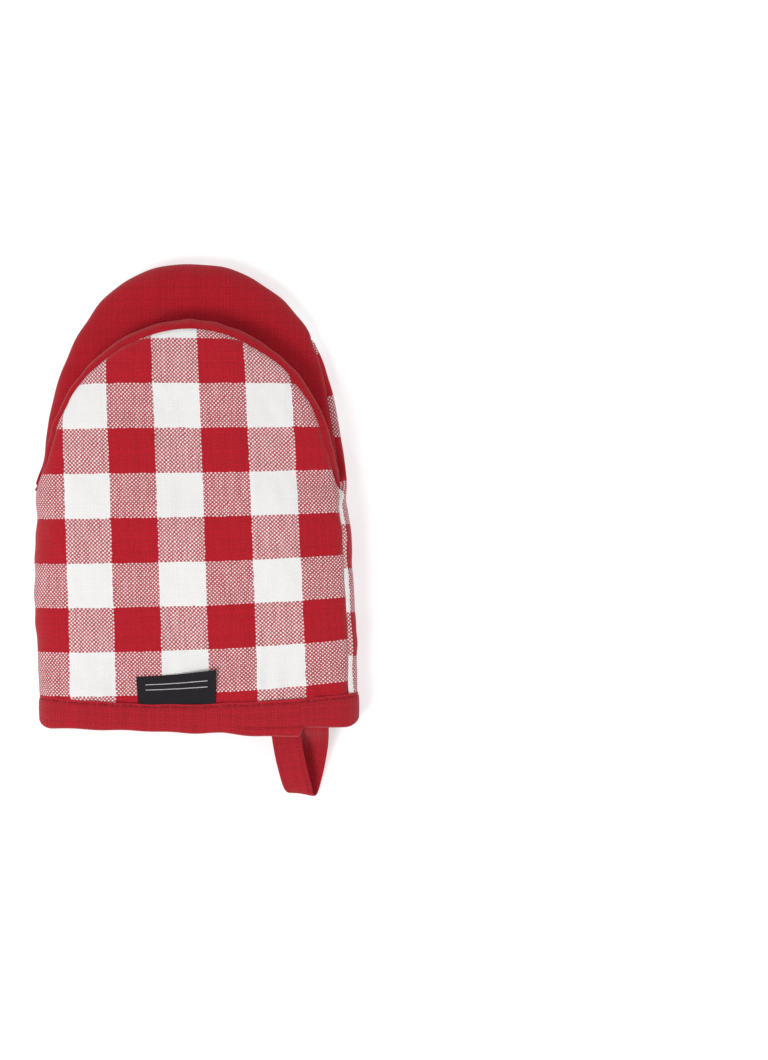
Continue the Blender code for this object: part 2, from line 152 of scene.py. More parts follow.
def spread_table(width, height):
    """Angles over a quarter of the section, and the share of its length at each."""
    angle = np.linspace(0, math.radians(90.0), 4000)
    x = width * np.sin(angle) ** (2 / POWER)
    z = height * np.cos(angle)
    length = np.concatenate([[0], np.cumsum(np.hypot(np.diff(x), np.diff(z)))])
    return length / length[-1], angle


SHARE, ANGLE = spread_table(62.0, 13.0)


def section_angles(end_angle, columns):
    """Angles from the centre to the seam, for one row and one side."""
    quarter = math.pi / 2
    if end_angle <= quarter:
        end_share = np.interp(end_angle, ANGLE, SHARE)
        return np.interp(np.linspace(0, end_share, columns), SHARE, ANGLE)
    past = end_angle - quarter
    past_share = 1 - np.interp(quarter - past, ANGLE, SHARE)
    total = 1 + past_share
    t = np.linspace(0, total, columns)
    mirrored = math.pi - np.interp(np.clip(2 - t, 0, 1), SHARE, ANGLE)
    return np.where(t <= 1, np.interp(np.clip(t, 0, 1), SHARE, ANGLE), mirrored)


def seam_angle(width, shown, flip):
    """Angle where the seam lies when `shown` mm of the other cloth is seen from above."""
    share = np.clip(1 - abs(shown) / max(width, 1e-3), 0, 1)
    angle = math.asin(min(1.0, share ** (POWER / 2)))
    over = shown >= 0
    if flip:
        over = not over
    return angle if over else math.pi - angle


def grid_points(slab, shown_left, shown_right, mid, near, far, flip):
    """Rows of points from the left seam to the right seam.

    near is the height of the cloth at the centre, far the height of the
    opposite side, mid the height of the widest line.
    """
    rows = len(slab.edge_y)
    columns = SECTION_COLUMNS
    count = 2 * columns - 1
    points = np.zeros((rows, count, 3))
    for k in range(rows):
        y = slab.edge_y[k]
        foot = np.array([slab.centre[k], slab.foot_y[k]])
        m = mid(y)
        for side in (-1, 1):
            edge = np.array([slab.left[k] if side < 0 else slab.right[k], y])
            span = edge - foot
            width = math.hypot(*span)
            shown = (shown_left if side < 0 else shown_right)(y)
            angle = section_angles(seam_angle(width, shown, flip), columns)
            r = np.abs(np.sin(angle)) ** (2 / POWER)
            c = np.cos(angle)
            plan = foot + r[:, None] * span
            n = near(plan[:, 1])
            f = far(plan[:, 1])
            z = np.where(c >= 0, m + (n - m) * c, m - (f - m) * c)
            block = np.column_stack([plan, z])
            if side < 0:
                points[k, :columns] = block[::-1]
            else:
                points[k, columns - 1:] = block
    return points


def grid_normals(p, outward_up):
    du = np.gradient(p, axis=1)
    dv = np.gradient(p, axis=0)
    n = np.cross(du, dv)
    n /= np.maximum(np.linalg.norm(n, axis=2, keepdims=True), 1e-9)
    middle = n[: len(n) // 2, p.shape[1] // 2, 2].mean()
    if (middle > 0) != outward_up:
        n = -n
    return mend_tip(n) if tip_closed(p) else n


def mend_tip(n):
    """One direction for the two halves where they meet beyond the spine's end."""
    mid = n.shape[1] // 2
    for k in range(len(n) - 3, len(n)):
        n[k, mid - 3:mid + 4] = n[len(n) - 4, mid]
    last = n[-1] + n[-1][::-1]
    n[-1] = last / np.maximum(np.linalg.norm(last, axis=1, keepdims=True), 1e-9)
    return n


def tip_closed(p):
    return np.linalg.norm(p[-1, 0, :2] - p[-1, -1, :2]) < 0.5


def row_lengths(p):
    """Distance along each row from its middle, negative to the left."""
    step = np.linalg.norm(np.diff(p, axis=1), axis=2)
    s = np.concatenate([np.zeros((len(p), 1)), np.cumsum(step, axis=1)], axis=1)
    mid = p.shape[1] // 2
    return s - s[:, mid:mid + 1]


def flat_coordinates(slab, p):
    """Where each point lies on the cloth before it was sewn, in mm."""
    s = row_lengths(p)
    uv = np.zeros(p.shape[:2] + (2,))
    for k in range(len(p)):
        foot = np.array([slab.centre[k], slab.foot_y[k]])
        for side in (-1, 1):
            edge = np.array([slab.left[k] if side < 0 else slab.right[k], slab.edge_y[k]])
            span = edge - foot
            way = span / max(math.hypot(*span), 1e-6)
            pick = s[k] * side >= 0
            uv[k, pick] = foot + np.abs(s[k][pick])[:, None] * way
    return uv


def rim_distance(p):
    s = row_lengths(p)
    return np.minimum(s - s[:, :1], s[:, -1:] - s)


def rim_run(p):
    """Distance along the nearer seam, for puckers that cross it."""
    left = np.concatenate([[0], np.cumsum(np.linalg.norm(np.diff(p[:, 0], axis=0), axis=1))])
    right = np.concatenate([[0], np.cumsum(np.linalg.norm(np.diff(p[:, -1], axis=0), axis=1))])
    run = np.zeros(p.shape[:2])
    mid = p.shape[1] // 2
    run[:, :mid] = left[:, None]
    run[:, mid:] = left[-1] + right[-1] - right[:, None]
    return run


def soften(p, normals, seed, hollow=0.9, pucker=0.20, swell=0.45, cuff=0.0):
    """Seam ditch, puckers across the seams and slow unevenness of the padding."""
    d = rim_distance(p)
    run = rim_run(p)
    push = -hollow * np.exp(-(d / 1.35) ** 2)
    push += pucker * np.exp(-d / 6.5) * (1 - np.exp(-(d / 1.6) ** 2)) * waves_1d(run, seed, 9.0, 26.0)
    inner = 1 - np.exp(-(d / 7.0) ** 2)
    push += swell * inner * waves_2d(p[..., 0], p[..., 1], seed + 1, 26, 70)
    push += 0.13 * inner * waves_2d(p[..., 0], p[..., 1], seed + 2, 7, 16, 22)
    if cuff:
        grip = np.exp(-np.clip(p[..., 1] - 16.0, 0, None) / 7.0)
        push += cuff * grip * waves_1d(p[..., 0], seed + 3, 6.0, 17.0)
        push = push * ease(9, 19, p[..., 1]) - 0.35 * (1 - ease(12, 17, p[..., 1]))
    if tip_closed(p):
        push[-1] = (push[-1] + push[-1][::-1]) / 2
    return p + normals * push[..., None]


def wall_mesh(name, outer, uv, thickness, outward_up, materials):
    """Closed padded wall: cloth outside, lining inside."""
    normals = grid_normals(outer, outward_up)
    d = rim_distance(outer)
    t = thickness * (0.16 + 0.84 * ease(0.0, 11.0, d))
    inner = outer - normals * t[..., None]
    rows, cols = outer.shape[:2]
    verts = np.concatenate([outer.reshape(-1, 3), inner.reshape(-1, 3)])
    verts = verts * MM
    verts[:, 1] += CUFF_Y * MM
    flat = np.concatenate([uv.reshape(-1, 2), uv.reshape(-1, 2)])
    index = np.arange(rows * cols).reshape(rows, cols)
    a, b = index[:-1, :-1].ravel(), index[:-1, 1:].ravel()
    c, e = index[1:, 1:].ravel(), index[1:, :-1].ravel()
    shift = rows * cols
    out_faces = np.column_stack([a, b, c, e])
    in_faces = np.column_stack([a, e, c, b]) + shift
    left = np.column_stack([index[:-1, 0], index[1:, 0], index[1:, 0] + shift, index[:-1, 0] + shift])
    right = np.column_stack([index[:-1, -1], index[:-1, -1] + shift,
                             index[1:, -1] + shift, index[1:, -1]])
    low = np.column_stack([index[0, :-1], index[0, :-1] + shift, index[0, 1:] + shift, index[0, 1:]])
    parts = [out_faces, in_faces, left, right, low]
    if not tip_closed(outer):
        parts.append(np.column_stack([index[-1, :-1], index[-1, 1:], index[-1, 1:] + shift,
                                      index[-1, :-1] + shift]))
    faces = np.concatenate(parts)
    slots = np.concatenate([np.zeros(len(out_faces), int), np.ones(len(faces) - len(out_faces), int)])
    slots[len(out_faces) + len(in_faces):] = 0
    return mesh_object(name, verts, faces, flat, materials, slots, weld=True)


def mesh_object(name, verts, faces, flat, materials, slots=None, weld=False):
    mesh = bpy.data.meshes.new(name)
    mesh.from_pydata([tuple(v) for v in verts], [], [tuple(int(i) for i in f) for f in faces])
    layer = mesh.uv_layers.new(name="cloth")
    loops = np.zeros(len(mesh.loops), np.int32)
    mesh.loops.foreach_get("vertex_index", loops)
    layer.data.foreach_set("uv", np.asarray(flat, np.float32)[loops].ravel())
    for mat in materials:
        mesh.materials.append(mat)
    if slots is not None:
        mesh.polygons.foreach_set("material_index", np.asarray(slots, np.int32))
    mesh.polygons.foreach_set("use_smooth", np.ones(len(mesh.polygons), bool))
    mesh.update()
    obj = bpy.data.objects.new(name, mesh)
    bpy.context.scene.collection.objects.link(obj)
    bm = bmesh.new()
    bm.from_mesh(mesh)
    if weld:
        bmesh.ops.remove_doubles(bm, verts=bm.verts, dist=2e-6)
    bmesh.ops.recalc_face_normals(bm, faces=bm.faces)
    bm.to_mesh(mesh)
    bm.free()
    return obj


# ---------------------------------------------------------------- materials
class Nodes:
    def __init__(self, name):
        self.mat = bpy.data.materials.new(name)
        self.mat.use_nodes = True
        self.tree = self.mat.node_tree
        self.shader = self.tree.nodes["Principled BSDF"]

    def add(self, kind, **settings):
        node = self.tree.nodes.new(kind)
        for key, value in settings.items():
            setattr(node, key, value)
        return node

    def put(self, socket, value):
        if isinstance(value, bpy.types.NodeSocket):
            self.tree.links.new(value, socket)
        else:
            socket.default_value = value

    def math(self, operation, a, b=None, c=None):
        node = self.add("ShaderNodeMath", operation=operation)
        self.put(node.inputs[0], a)
        if b is not None:
            self.put(node.inputs[1], b)
        if c is not None:
            self.put(node.inputs[2], c)
        return node.outputs[0]

    def mix(self, factor, a, b, blend="MIX"):
        node = self.add("ShaderNodeMix", data_type="RGBA", blend_type=blend)
        self.put(node.inputs[0], factor)
        self.put(node.inputs[6], a)
        self.put(node.inputs[7], b)
        return node.outputs[2]

    def noise(self, vector, scale, detail=2.0, dims="3D"):
        node = self.add("ShaderNodeTexNoise", noise_dimensions=dims)
        self.put(node.inputs["Vector"], vector)
        node.inputs["Scale"].default_value = scale
        node.inputs["Detail"].default_value = detail
        return node.outputs["Fac"]


def colour(r, g, b):
    def linear(v):
        v /= 255.0
        return v / 12.92 if v <= 0.04045 else ((v + 0.055) / 1.055) ** 2.4
    return (linear(r), linear(g), linear(b), 1.0)


RED = colour(174, 20, 35)
# red yarn seen round the white dots of the mixed checks, darker than RED as painted shade in the gaps
# between yarns
RED_IN_SHADED_GAPS = colour(160, 20, 36)
PINK = colour(210, 142, 148)
WHITE = colour(231, 230, 229)


def woven(name, pitch=(1.0, 1.0), gingham=False, base=RED, gap_shade_strength=0.42, strength=0.55, sheen=0.12,
          fuzz=0.10, rough=0.9, yarn_variation=0.16):
    """Plain weave; the map is in threads for gingham, else in mm. Its colour is darkened where the yarns
    dip, as painted shade between the threads.
    """
    n = Nodes(name)
    uv = n.add("ShaderNodeUVMap", uv_map="cloth").outputs[0]
    split = n.add("ShaderNodeSeparateXYZ")
    n.put(split.inputs[0], uv)
    wobble = n.noise(uv, 0.22 if gingham else 0.3, 1.0)
    shift = n.math("MULTIPLY", n.math("SUBTRACT", wobble, 0.5), 1.1)
    x = n.math("ADD", n.math("DIVIDE", split.outputs[0], pitch[0]), shift)
    y = n.math("SUBTRACT", n.math("DIVIDE", split.outputs[1], pitch[1]), shift)
    i, j = n.math("FLOOR", x), n.math("FLOOR", y)
    fx = n.math("SUBTRACT", n.math("SUBTRACT", x, i), 0.5)
    fy = n.math("SUBTRACT", n.math("SUBTRACT", y, j), 0.5)
    over = n.math("FLOORED_MODULO", n.math("ADD", i, j), 2.0)
    cx = n.math("COSINE", n.math("MULTIPLY", fx, math.pi))
    cy = n.math("COSINE", n.math("MULTIPLY", fy, math.pi))
    warp_h = n.math("MULTIPLY", cx, n.math("MULTIPLY_ADD", cy, 0.55, 0.45))
    weft_h = n.math("MULTIPLY", cy, n.math("MULTIPLY_ADD", cx, 0.55, 0.45))
    height = n.math("ADD", n.math("MULTIPLY", warp_h, over),
                    n.math("MULTIPLY", weft_h, n.math("SUBTRACT", 1.0, over)))
    per_warp = n.add("ShaderNodeTexWhiteNoise", noise_dimensions="1D")
    n.put(per_warp.inputs["W"], i)
    per_weft = n.add("ShaderNodeTexWhiteNoise", noise_dimensions="1D")
    n.put(per_weft.inputs["W"], n.math("ADD", j, 311.0))
    white = 0.0
    cell = n.math("MULTIPLY", cx, cy)
    if gingham:
        column = n.math("FLOORED_MODULO", n.math("FLOOR", n.math("DIVIDE", x, THREADS_X)), 2.0)
        row = n.math("FLOORED_MODULO", n.math("FLOOR", n.math("DIVIDE", y, THREADS_Y)), 2.0)
        warp_c = n.mix(column, base, WHITE)
        weft_c = n.mix(row, WHITE, base)
        white = n.math("MULTIPLY", column, n.math("SUBTRACT", 1.0, row))
        mixed = n.math("ABSOLUTE", n.math("SUBTRACT", n.math("SUBTRACT", 1.0, column), row))
    else:
        warp_c = weft_c = base
    top = n.mix(over, weft_c, warp_c)
    if gingham:
        along = n.add("ShaderNodeCombineXYZ")
        n.put(along.inputs[0], n.math("MULTIPLY", x, 0.8))
        n.put(along.inputs[1], n.math("MULTIPLY", y, 0.06))
        streak = n.math("MULTIPLY", n.math("SUBTRACT", n.noise(along.outputs[0], 1.0, 2.0), 0.5), 0.9)
        both = n.math("MULTIPLY_ADD", n.math("MULTIPLY", column, row), 0.17, -0.06)
        spot = n.add("ShaderNodeMapRange", interpolation_type="SMOOTHSTEP")
        n.put(spot.inputs["Value"], n.math("ADD", cell, n.math("ADD", both, streak)))
        spot.inputs["From Min"].default_value = 0.10
        spot.inputs["From Max"].default_value = 0.34
        hidden = n.math("MULTIPLY", mixed, n.math("SUBTRACT", 1.0, spot.outputs["Result"]))
        # the red round the white dots is the red yarn, darkened as painted shade in the gaps
        top = n.mix(hidden, top, RED_IN_SHADED_GAPS)
        top = n.mix(n.math("MULTIPLY", mixed, 0.25), top, PINK)
    tone = n.mix(over, per_weft.outputs[0], per_warp.outputs[0])
    slub = n.noise(uv, 0.6 if gingham else 0.9, 3.0)
    uneven = n.math("ADD", n.math("MULTIPLY", n.math("SUBTRACT", tone, 0.5), yarn_variation),
                    n.math("MULTIPLY", n.math("SUBTRACT", slub, 0.5), 0.35))
    calm = n.math("MULTIPLY_ADD", white, -0.8, 1.0)
    light = n.math("MULTIPLY_ADD", uneven, calm, 1.0)
    # painted shade: the colour is darkened where a yarn dips, in the gaps between the threads
    painted_gap_shade = n.math("MULTIPLY", n.math("SUBTRACT", height, 0.62), n.math("MULTIPLY", calm, gap_shade_strength))
    shade = n.math("MULTIPLY", light, n.math("ADD", painted_gap_shade, 1.0))
    grey = n.add("ShaderNodeCombineXYZ")
    for socket in grey.inputs:
        n.put(socket, shade)
    shaded = n.mix(1.0, top, grey.outputs[0], "MULTIPLY")
    fibre = n.noise(uv, 3.2, 4.0)
    fluff = n.math("MULTIPLY", n.math("MAXIMUM", n.math("SUBTRACT", fibre, 0.58), 0.0), fuzz * 6.0)
    final = n.mix(fluff, shaded, colour(226, 180, 182))
    n.put(n.shader.inputs["Base Color"], final)
    n.shader.inputs["Roughness"].default_value = rough
    n.shader.inputs["Specular IOR Level"].default_value = 0.18
    n.shader.inputs["Sheen Weight"].default_value = sheen
    n.shader.inputs["Sheen Roughness"].default_value = 0.5
    bump = n.add("ShaderNodeBump")
    bump.inputs["Strength"].default_value = strength
    bump.inputs["Distance"].default_value = 0.00012
    n.put(bump.inputs["Height"], n.math("ADD", height, n.math("MULTIPLY", fibre, 0.5)))
    n.put(n.shader.inputs["Normal"], bump.outputs[0])
    return n.mat


def thread_material(name, base):
    n = Nodes(name)
    place = n.add("ShaderNodeTexCoord").outputs["Object"]
    fine = n.noise(place, 2600.0, 2.0)
    n.put(n.shader.inputs["Base Color"], n.mix(fine, tuple(c * 0.75 for c in base[:3]) + (1,), base))
    n.shader.inputs["Roughness"].default_value = 0.6
    n.shader.inputs["Specular IOR Level"].default_value = 0.3
    return n.mat


gingham = woven("gingham weave", gingham=True)
plain_red = woven("plain red weave", pitch=(0.74, 0.76), base=colour(168, 17, 32), gap_shade_strength=0.60,
                  fuzz=0.05, yarn_variation=0.22)
hem_red = woven("red binding weave", pitch=(0.78, 0.74), base=colour(172, 27, 40), gap_shade_strength=0.62,
                fuzz=0.09, yarn_variation=0.26)
lining_red = woven("red lining weave", pitch=(0.6, 0.6), base=colour(150, 22, 34), gap_shade_strength=0.3)
tape_red = woven("red loop tape weave", pitch=(0.74, 0.78), base=colour(170, 24, 38), gap_shade_strength=0.62,
                 fuzz=0.09, yarn_variation=0.26)
red_thread = thread_material("red thread", colour(176, 30, 44))
# darker than the thread's own red: painted shade of the stitch holes
hem_thread_with_painted_shade = thread_material("red topstitch thread darkened as painted shade", colour(140, 18, 30))


# -------------------------------------------------------------------- walls
def back_mid(y):
    sleeve = 13.0 + (FOLD_Z - 13.0) * ease(0, 70, y)
    return sleeve + (JAW_Z / 2 - FOLD_Z) * ease(FOLD_Y - 2, FOLD_Y + 20, y)


def seam_height(y):
    """Height at which the back panel has to end to meet the front panel, as a top of its section."""
    rise = math.cos(seam_angle(front_sides(y)[1], front_right(y), False))
    meet = front_mid(y) + (front_top(y) - front_mid(y)) * rise
    mine = abs(math.cos(seam_angle(finger_right(y), back_right(y), True)))
    return float(back_mid(y) + (meet - back_mid(y)) / mine)


def back_far(y):
    """Top of the body that the back panel belongs to."""
    flat = np.asarray(y, float)
    row = float(flat.flat[0])
    if row < FOLD_Y - 12 or row > FOLD_Y + 10:
        return front_top(flat) + (JAW_Z - TOP_Z) * ease(FOLD_Y - 8, FOLD_Y + 7, flat)
    top = seam_height(min(row, FOLD_Y - 0.01))
    if row > FOLD_Y:
        top += (JAW_Z - top) * float(ease(FOLD_Y, FOLD_Y + 8, row))
    return np.full_like(flat, top)


def front_top(y):
    return CUFF_Z + (TOP_Z - CUFF_Z) * ease(14, 88, y)


def front_mid(y):
    sleeve = 13.0 + (FOLD_Z - 13.0) * ease(0, 70, y)
    thumb = (TOP_Z + FOLD_Z) / 2
    return sleeve + (thumb - FOLD_Z) * ease(FOLD_Y - 2, FOLD_Y + 20, y)


def flat_at(value):
    return lambda y: np.full_like(np.asarray(y, float), value)


def thumb_centre(y):
    return -3.1 - 0.3 * ease(150, 176, y)


def thumb_sides(y):
    h = thumb_half(y)
    return h + 0.9 * (1 - ease(100, 122, y)), h + 1.0 * (1 - ease(104, 126, y))


def front_sides(y):
    s_left = ease(FOLD_Y - 6, FOLD_Y + 14, y)
    s_right = ease(FOLD_Y - 5, FOLD_Y + 3, y)
    left, right = thumb_sides(y)
    c = finger_centre(y)
    tc = thumb_centre(y)
    mix_c = front_centre(y)
    l = (1 - s_left) * (c - finger_left(y)) + s_left * (tc - left)
    r = (1 - s_right) * (c + finger_right(y)) + s_right * (tc + right)
    return mix_c - l, r - mix_c


def front_centre(y):
    s = ease(FOLD_Y - 20, FOLD_Y + 20, y)
    return (1 - s) * finger_centre(y) + s * thumb_centre(y)


def finger_right(y):
    """The right side is a little fuller along the sleeve and pinched at the corner."""
    fuller = 0.8 * ease(15, 45, y) * (1 - ease(84, 93, y))
    pinch = 0.8 * np.exp(-((y - 99.0) / 4.5) ** 2)
    shoulder = 1.1 * ease(125, 160, y) * (1 - ease(174, 188, y))
    return finger_half(y) + fuller - pinch + shoulder


def finger_left(y):
    fuller = 1.4 * ease(3, 18, y) * (1 - ease(70, 92, y))
    corner = 1.5 * np.exp(-((y - 104.0) / 7.5) ** 2)
    shoulder = 1.1 * ease(118, 138, y) * (1 - ease(165, 182, y))
    return finger_half(y) + fuller + corner + shoulder


def finger_sides(y):
    return finger_left(y), finger_right(y)


def jaw_sides(y):
    """The mouth cloth tucks in where it runs under the fold."""
    tuck_left = 6.0 * (1 - ease(FOLD_Y - 3, FOLD_Y + 2, y))
    tuck_right = 3.6 * (1 - ease(FOLD_Y - 5, FOLD_Y, y))
    return finger_left(y) - tuck_left, finger_right(y) - tuck_right


def ripple(y, seed):
    return 0.16 * float(waves_1d(np.array([float(y)]), seed, 9.0, 24.0)[0])


def side_right(y):
    """How much back gingham shows beside the front panel, sleeve part."""
    return 3.1 - 2.4 * float(ease(FOLD_Y - 10, FOLD_Y, y)) + 0.5 * ripple(y, 31)


def side_left(y):
    return -3.0 + 3.0 * float(ease(FOLD_Y - 16, FOLD_Y + 2, y))


def roll_right(y):
    top = float(ease(140, THUMB_TIP, y))
    grow = float(ease(FOLD_Y, FOLD_Y + 16, y))
    return 0.7 + 1.9 * grow + 1.1 * top + ripple(y, 41)


def roll_left(y):
    top = float(ease(140, THUMB_TIP, y))
    grow = float(ease(FOLD_Y + 2, FOLD_Y + 24, y))
    return 0.2 + 1.7 * grow + 1.8 * top + ripple(y, 42) * grow


def front_left(y):
    return side_left(y) if y < FOLD_Y else roll_left(y)


def front_right(y):
    return side_right(y) if y < FOLD_Y else roll_right(y)


def jaw_right(y):
    """How much back gingham shows beside the finger jaw's mouth cloth."""
    seam = 2.6 * (1 - float(ease(132, 176, y))) - 1.3 * float(ease(165, 190, y)) + 0.4 * ripple(y, 51)
    s = float(ease(FOLD_Y, FOLD_Y + 8, y))
    return 3.6 * (1 - s) + seam * s


def jaw_left(y):
    return -1.3


def back_right(y):
    """The back meets the front's seam along the sleeve, then the mouth cloth's."""
    if y < FOLD_Y:
        seam = front_centre(y) + front_sides(y)[1] - front_right(y)
        return float(finger_centre(y) + finger_right(y) - seam) + 0.15
    s = float(ease(FOLD_Y, FOLD_Y + 8, y))
    return back_right(FOLD_Y - 0.01) * (1 - s) + jaw_right(y) * s


def back_left(y):
    s = float(ease(FOLD_Y, FOLD_Y + 12, y))
    return side_left(min(y, FOLD_Y)) * (1 - s) + jaw_left(y) * s


BACK_CHECK_X, BACK_CHECK_Y = 20.0, 18.95
WHITE_STRIP = 2.1            # of the white column beside the right seam


def checks_back(uv):
    """Cloth place in mm to threads, counted from a check's corner."""
    u, v = uv[..., 0], uv[..., 1]
    y = finger_slab.edge_y
    sleeve = (y > 20) & (y < 90)
    column = np.median(u[sleeve, -1]) - WHITE_STRIP
    drift = (u[:, -1] - WHITE_STRIP - column) * (1 - ease(100, 112, y)) - 8.0 * ease(115, 165, y)
    near_seam = ease(0.3, 0.9, u / u[:, -1:])
    return np.stack([(u - column + BACK_CHECK_X - drift[:, None] * near_seam) / BACK_CHECK_X * THREADS_X,
                     (v - 12.7) / BACK_CHECK_Y * THREADS_Y], axis=-1)


def checks_front(uv):
    u, v = uv[..., 0], uv[..., 1]
    lean = (140 - v) / 126 * (4.3 + 0.035 * u)
    tilt = 2.0 * np.clip(u, 0, None) ** 2 / 62 ** 2
    a = np.clip(u, -66, 66) / 60
    b = (np.clip(v, 10, 176) - 75) / 60
    drift_x = (1.14 - 0.05 * a + 0.41 * b + 0.72 * a * a + 0.25 * a * b - 0.42 * b * b
               - 0.79 * a * a * b + 0.13 * a ** 3)
    drift_y = (0.38 + 1.32 * a - 1.01 * b - 0.11 * a * a - 1.33 * a * b + 0.27 * b * b
               - 0.82 * a * a * b - 0.48 * a ** 3)
    return np.stack([(u - 0.7 - lean - drift_x) / CHECK_X * THREADS_X,
                     (v - 14.2 - tilt - drift_y) / CHECK_Y * THREADS_Y], axis=-1)


finger_end = (FINGER_ARCH, FINGER_POWER, FINGER_SPINE)
thumb_end = (THUMB_ARCH, THUMB_POWER, THUMB_SPINE)
finger_slab = Slab(FIRST_ROW, FINGER_LEAN, TIP, finger_sides, finger_centre, *finger_end)
front_slab = Slab(FIRST_ROW, THUMB_LEAN, THUMB_TIP, front_sides, front_centre, *thumb_end)
thumb_slab = Slab(FOLD_Y, THUMB_LEAN, THUMB_TIP, front_sides, front_centre, *thumb_end)
jaw_slab = Slab(FOLD_Y - 5, FINGER_LEAN, TIP, jaw_sides, finger_centre, *finger_end)

back = grid_points(finger_slab, back_left, back_right, back_mid, flat_at(0.0), back_far, True)
back_uv = checks_back(flat_coordinates(finger_slab, back))
back = soften(back, grid_normals(back, False), 100, swell=0.12, cuff=0.15)
back[..., 2] = np.maximum(back[..., 2], 0.0)
back_wall = wall_mesh("back_wall", back, back_uv, WALL_T, False, [gingham, lining_red])

front = grid_points(front_slab, front_left, front_right, front_mid, front_top, flat_at(0.0), False)
front_uv = checks_front(flat_coordinates(front_slab, front))
front = soften(front, grid_normals(front, True), 200, cuff=0.3)
front_wall = wall_mesh("front_wall", front, front_uv, WALL_T, True, [gingham, lining_red])

jaw = grid_points(jaw_slab, jaw_left, jaw_right, back_mid, flat_at(JAW_Z), flat_at(0.0), False)
jaw_uv = flat_coordinates(jaw_slab, jaw)
jaw = soften(jaw, grid_normals(jaw, True), 300, swell=0.35)
finger_mouth = wall_mesh("finger_mouth", jaw, jaw_uv, MOUTH_T, True, [plain_red, lining_red])

thumb = grid_points(thumb_slab, roll_left, roll_right, front_mid, flat_at(FOLD_Z + 0.25),
                    flat_at(TOP_Z), True)
thumb_uv = flat_coordinates(thumb_slab, thumb)
thumb = soften(thumb, grid_normals(thumb, False), 400, swell=0.15)
thumb_mouth = wall_mesh("thumb_mouth", thumb, thumb_uv, MOUTH_T, False, [plain_red, lining_red])

# --------------------------------------------------------------------- cuff
def closed_section(y, outset, count=132):
    """Loop of points and outward normals around the sleeve at Y."""
    half = float(finger_half(y))
    c = float(finger_centre(y))
    m = float(back_mid(y))
    top = float(front_top(y))
    angle = np.interp(np.linspace(0, 1, count), SHARE, ANGLE)
    r = np.sin(angle) ** (2 / POWER)
    cz = np.cos(angle)
    loop = []
    for sx, sz in ((1, 1), (1, -1), (-1, -1), (-1, 1)):
        h = top - m if sz > 0 else m
        quarter = np.column_stack([c + sx * half * r, m + sz * h * cz])
        if sx * sz < 0:
            quarter = quarter[::-1]
        loop.append(quarter[:-1])
    loop = np.concatenate(loop)
    tangent = np.roll(loop, -1, axis=0) - np.roll(loop, 1, axis=0)
    normal = np.column_stack([-tangent[:, 1], tangent[:, 0]])
    normal /= np.linalg.norm(normal, axis=1, keepdims=True)
    if (normal[0] @ np.array([0, 1.0])) < 0:
        normal = -normal
    return loop + outset * normal, normal


base_loop, base_normal = closed_section(6.0, 0.0)
loop_count = len(base_loop)
loop_step = np.linalg.norm(np.roll(base_loop, -1, axis=0) - base_loop, axis=1)
loop_run = np.concatenate([[0], np.cumsum(loop_step)[:-1]])
loop_length = loop_step.sum()


def ring_wave(seed, short, long):
    """Random wave that closes on itself around the cuff."""
    r = np.random.default_rng(seed)
    total = np.zeros(loop_count)
    low, high = int(loop_length / long), int(loop_length / short)
    for _ in range(9):
        total += np.sin(math.tau * loop_run / loop_length * r.integers(low, high + 1)
                        + r.uniform(0, math.tau))
    return total / 2.1


frontness = np.clip(base_normal[:, 1], -1, 1)
hem_x = base_loop[:, 0]
CORNER = 4.4                 # rounding of the binding at its lower corners
from_side = np.abs(hem_x - (hem_x.max() + hem_x.min()) / 2) - (np.ptp(hem_x) / 2 - CORNER)
corner = np.clip(from_side / CORNER, 0, 1)
hem_low = 1.4 - 1.8 * ease(-60, 10, hem_x) - 1.1 * ease(10, 28, hem_x) + 3.5 * ease(43.6, 46.2, hem_x)
hem_low = hem_low - 0.3 * ease(-0.3, 0.5, -frontness) + 3.8 * (1 - np.sqrt(1 - 0.97 * corner ** 2))
to_left = np.clip((-12 - hem_x) / 57, 0, None)
to_right = np.clip((hem_x + 12) / 81, 0, None)
hem_high = 11.1 + 3.4 * to_left ** 1.5 + 4.6 * to_right ** 1.6 + 0.12 * ring_wave(61, 14, 50)
hem_low = hem_low + 0.12 * ring_wave(62, 12, 60)
WALL_DEPTH = 4.9             # of the padding that the binding wraps

hem_profile = []
HEM_OUT = 0.72               # how far the binding stands out from the sleeve
for t in np.linspace(0, 1, 41):
    groove = -0.46 * math.exp(-((t - 0.115) / 0.04) ** 2)
    rise = HEM_OUT * (0.62 + 0.38 * float(ease(0.0, 0.22, t)))
    hem_profile.append((1 - t, rise + 0.16 * math.sin(math.pi * t) + groove))
for a in np.linspace(0, math.pi, 13)[1:-1]:
    hem_profile.append((-0.09 * math.sin(a),
                        -WALL_DEPTH / 2 + (HEM_OUT + WALL_DEPTH / 2) * math.cos(a)))
for t in np.linspace(0, 1, 8):
    hem_profile.append((t, -WALL_DEPTH - 0.7))
hem_profile.append((1.0, -WALL_DEPTH + 0.1))
for t in np.linspace(1, 0, 4):
    hem_profile.append((0.15 + 0.7 * t, -WALL_DEPTH + 0.1))
for t in np.linspace(0, 1, 4):
    hem_profile.append((0.15 + 0.7 * t, -0.1))
hem_profile.append((1.0, -0.1))

